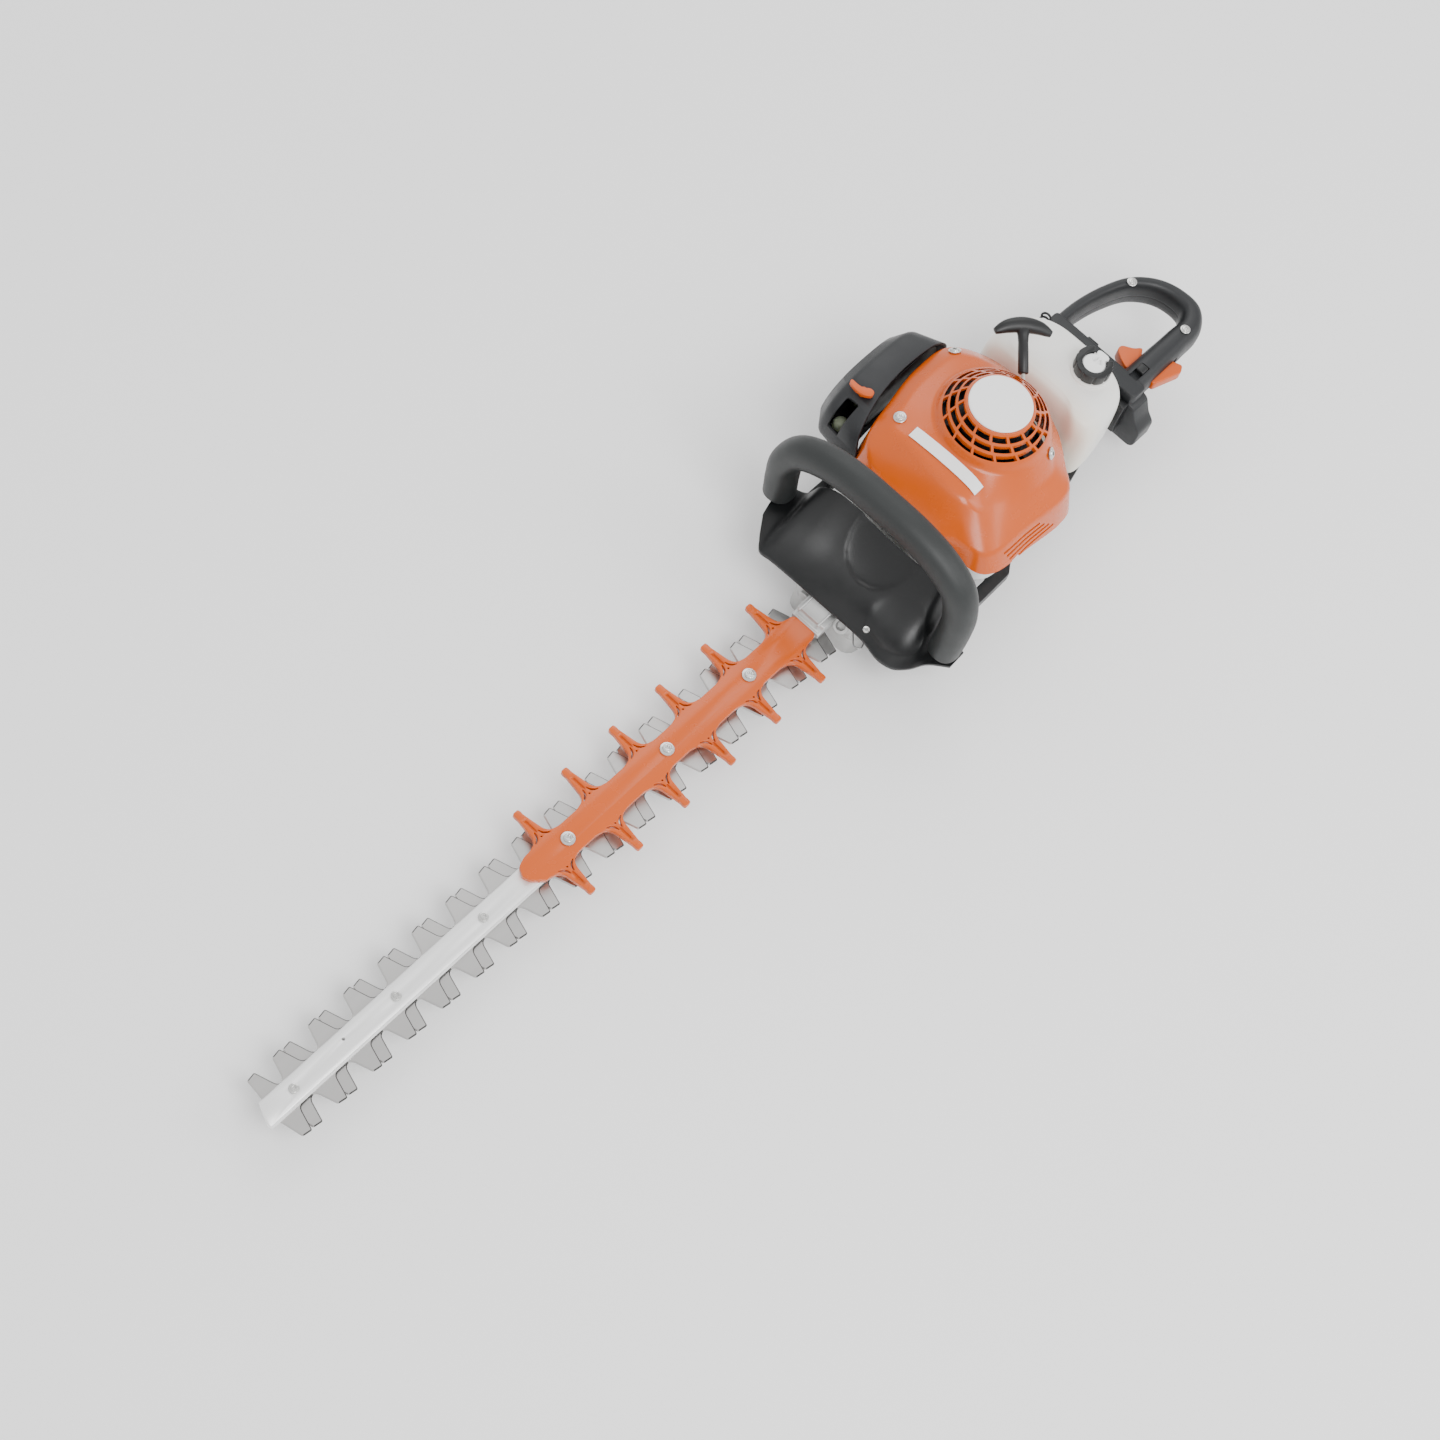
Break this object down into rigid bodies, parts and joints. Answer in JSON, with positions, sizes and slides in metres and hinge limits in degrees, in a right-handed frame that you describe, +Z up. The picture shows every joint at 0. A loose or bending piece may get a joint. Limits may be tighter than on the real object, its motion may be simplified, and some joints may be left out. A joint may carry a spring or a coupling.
{
  "type": "hedge trimmer",
  "caption": "Petrol hedge trimmer: long double-sided reciprocating cutter, orange engine cover, upright front bail handle with hand guard, white tank and a swivelling rear handle.",
  "frame": {"origin": "centre of the overall box in plan, on the flat underside of the gearbox", "axes": "+X along the cutter towards its tip, +Y to the operator's left, +Z up along the crankshaft"},
  "size_m": [1.1273, 0.2367, 0.1838],
  "materials": {
    "orange_shell": "glossy moulded orange plastic",
    "orange_control": "satin orange plastic",
    "charcoal_plastic": "fine-grained charcoal plastic",
    "black_plastic": "fine-grained black plastic",
    "grip_rubber": "soft grip rubber",
    "cable_rubber": "black cable sheath",
    "tank_plastic": "translucent white plastic",
    "pale_plastic": "pale grey plastic",
    "white_plate": "white plate",
    "rope_cord": "braided cord",
    "blade_steel": "ground blade steel",
    "steel": "machined steel",
    "spring_steel": "blackened spring steel",
    "bar_alloy": "bright anodised bar",
    "screw_zinc": "zinc-plated fasteners",
    "cast_alloy": "as-cast alloy",
    "plug_ceramic": "glazed ceramic",
    "filter_foam": "oiled foam",
    "bulb_clear": "clear soft bulb"
  },
  "bodies": {
    "machine": {"engine_cover": "orange_shell", "tooth_guard": "orange_shell", "filter_cover": "charcoal_plastic", "hand_guard": "black_plastic", "handle_frame": "black_plastic", "swivel_base": "black_plastic", "filter_base": "black_plastic", "front_handle": "grip_rubber", "throttle_cable": "cable_rubber", "fuel_tank": "tank_plastic", "engine_base": "pale_plastic", "badge": "white_plate", "label_plate": "white_plate", "muffler": "steel", "front_spring_1": "spring_steel", "front_spring_2": "spring_steel", "rear_spring": "spring_steel", "guide_bar": "bar_alloy", "bar_bolt_1": "screw_zinc", "bar_bolt_2": "screw_zinc", "bar_bolt_3": "screw_zinc", "bar_bolt_4": "screw_zinc", "bar_bolt_5": "screw_zinc", "bar_bolt_6": "screw_zinc", "cover_screw_1": "screw_zinc", "cover_screw_2": "screw_zinc", "cover_screw_3": "screw_zinc", "gearbox_housing": "cast_alloy", "gearbox_cover": "cast_alloy", "crankcase": "cast_alloy", "cylinder": "cast_alloy", "carburettor": "cast_alloy", "spark_plug": "plug_ceramic", "filter_element": "filter_foam"},
    "upper_cutter": {"upper_blade": "blade_steel", "upper_drive_rod": "steel"},
    "lower_cutter": {"lower_blade": "blade_steel", "lower_drive_rod": "steel"},
    "crank": {"crankshaft": "steel", "flywheel_fan": "black_plastic", "clutch_shoes": "steel"},
    "drum": {"clutch_drum": "steel"},
    "gear": {"drive_gear": "steel"},
    "piston_set": {"piston": "cast_alloy", "connecting_rod": "steel"},
    "pulley": {"starter_pulley": "black_plastic", "recoil_spring": "steel"},
    "starter_grip": {"pull_grip": "black_plastic", "starter_rope": "rope_cord"},
    "swivel_handle": {"rear_handle_upper": "charcoal_plastic", "rear_handle_lower": "charcoal_plastic", "handle_screw_1": "screw_zinc", "handle_screw_2": "screw_zinc"},
    "trigger": {"throttle_trigger": "orange_control"},
    "lockout": {"lockout_lever": "orange_control"},
    "stop_switch": {"stop_slider": "black_plastic"},
    "swivel_lock": {"swivel_lock": "black_plastic"},
    "choke": {"choke_lever": "orange_control"},
    "primer": {"primer_bulb": "bulb_clear"},
    "cap": {"fuel_cap": "black_plastic"}
  },
  "joints": [
    {"name": "blade_slide", "type": "slide", "parent": "machine", "child": "upper_cutter", "axis": [1, 0, 0], "range_m": [-0.01525, 0.00375]},
    {"name": "lower_blade_slide", "type": "slide", "parent": "machine", "child": "lower_cutter", "axis": [1, 0, 0], "range_m": [-0.00375, 0.01525]},
    {"name": "crank_spin", "type": "hinge", "parent": "machine", "child": "crank", "pos_m": [-0.283, 0.0036, 0.092], "axis": [0, 0, 1], "continuous": true},
    {"name": "drum_spin", "type": "hinge", "parent": "machine", "child": "drum", "pos_m": [-0.283, 0.0036, 0.062], "axis": [0, 0, 1], "continuous": true},
    {"name": "gear_spin", "type": "hinge", "parent": "machine", "child": "gear", "pos_m": [-0.231, 0.0036, 0.042], "axis": [0, 0, 1], "continuous": true},
    {"name": "piston_slide", "type": "slide", "parent": "machine", "child": "piston_set", "axis": [1, 0, 0], "range_m": [-0.012, 0.012]},
    {"name": "starter_pull", "type": "slide", "parent": "machine", "child": "starter_grip", "axis": [-0.6727, -0.6727, 0.3082], "range_m": [0, 0.6]},
    {"name": "pulley_spin", "type": "hinge", "parent": "machine", "child": "pulley", "pos_m": [-0.283, 0.0036, 0.14], "axis": [0, 0, 1], "range_deg": [-1300, 0.5]},
    {"name": "handle_swivel", "type": "hinge", "parent": "machine", "child": "swivel_handle", "pos_m": [-0.426, 0.0116, 0.074], "axis": [1, 0, 0], "range_deg": [0, 180]},
    {"name": "trigger_pull", "type": "hinge", "parent": "swivel_handle", "child": "trigger", "pos_m": [-0.465, 0.0386, 0.074], "axis": [0, 0, 1], "range_deg": [-12, 0], "stiffness_Nm_per_rad": 0.4, "springref_deg": 14.32},
    {"name": "lockout_press", "type": "hinge", "parent": "swivel_handle", "child": "lockout", "pos_m": [-0.47, 0.0556, 0.074], "axis": [0, 0, 1], "range_deg": [0, 12], "stiffness_Nm_per_rad": 0.3, "springref_deg": -14.32},
    {"name": "stop_slide", "type": "slide", "parent": "swivel_handle", "child": "stop_switch", "axis": [1, 0, 0], "range_m": [0, 0.006]},
    {"name": "swivel_lock_pull", "type": "slide", "parent": "swivel_handle", "child": "swivel_lock", "axis": [-1, 0, 0], "range_m": [0, 0.006], "stiffness_N_per_m": 400, "springref_m": -0.004},
    {"name": "choke_turn", "type": "hinge", "parent": "machine", "child": "choke", "pos_m": [-0.226, -0.0934, 0.132], "axis": [0, 0, 1], "range_deg": [0, 60]},
    {"name": "primer_press", "type": "slide", "parent": "machine", "child": "primer", "axis": [-0.3489, 0, -0.9371], "range_m": [0, 0.004], "stiffness_N_per_m": 200, "springref_m": -0.003},
    {"name": "cap_turn", "type": "hinge", "parent": "machine", "child": "cap", "pos_m": [-0.399, 0.0246, 0.132], "axis": [0, 0, 1], "range_deg": [0, 90]}
  ],
  "couplings": [
    {"joint": "lower_blade_slide", "follows": "blade_slide", "ratio": -1},
    {"joint": "drum_spin", "follows": "crank_spin", "ratio": 1},
    {"joint": "gear_spin", "follows": "crank_spin", "ratio": -0.3},
    {"joint": "pulley_spin", "follows": "starter_pull", "rad_per_m": -35.7}
  ]
}
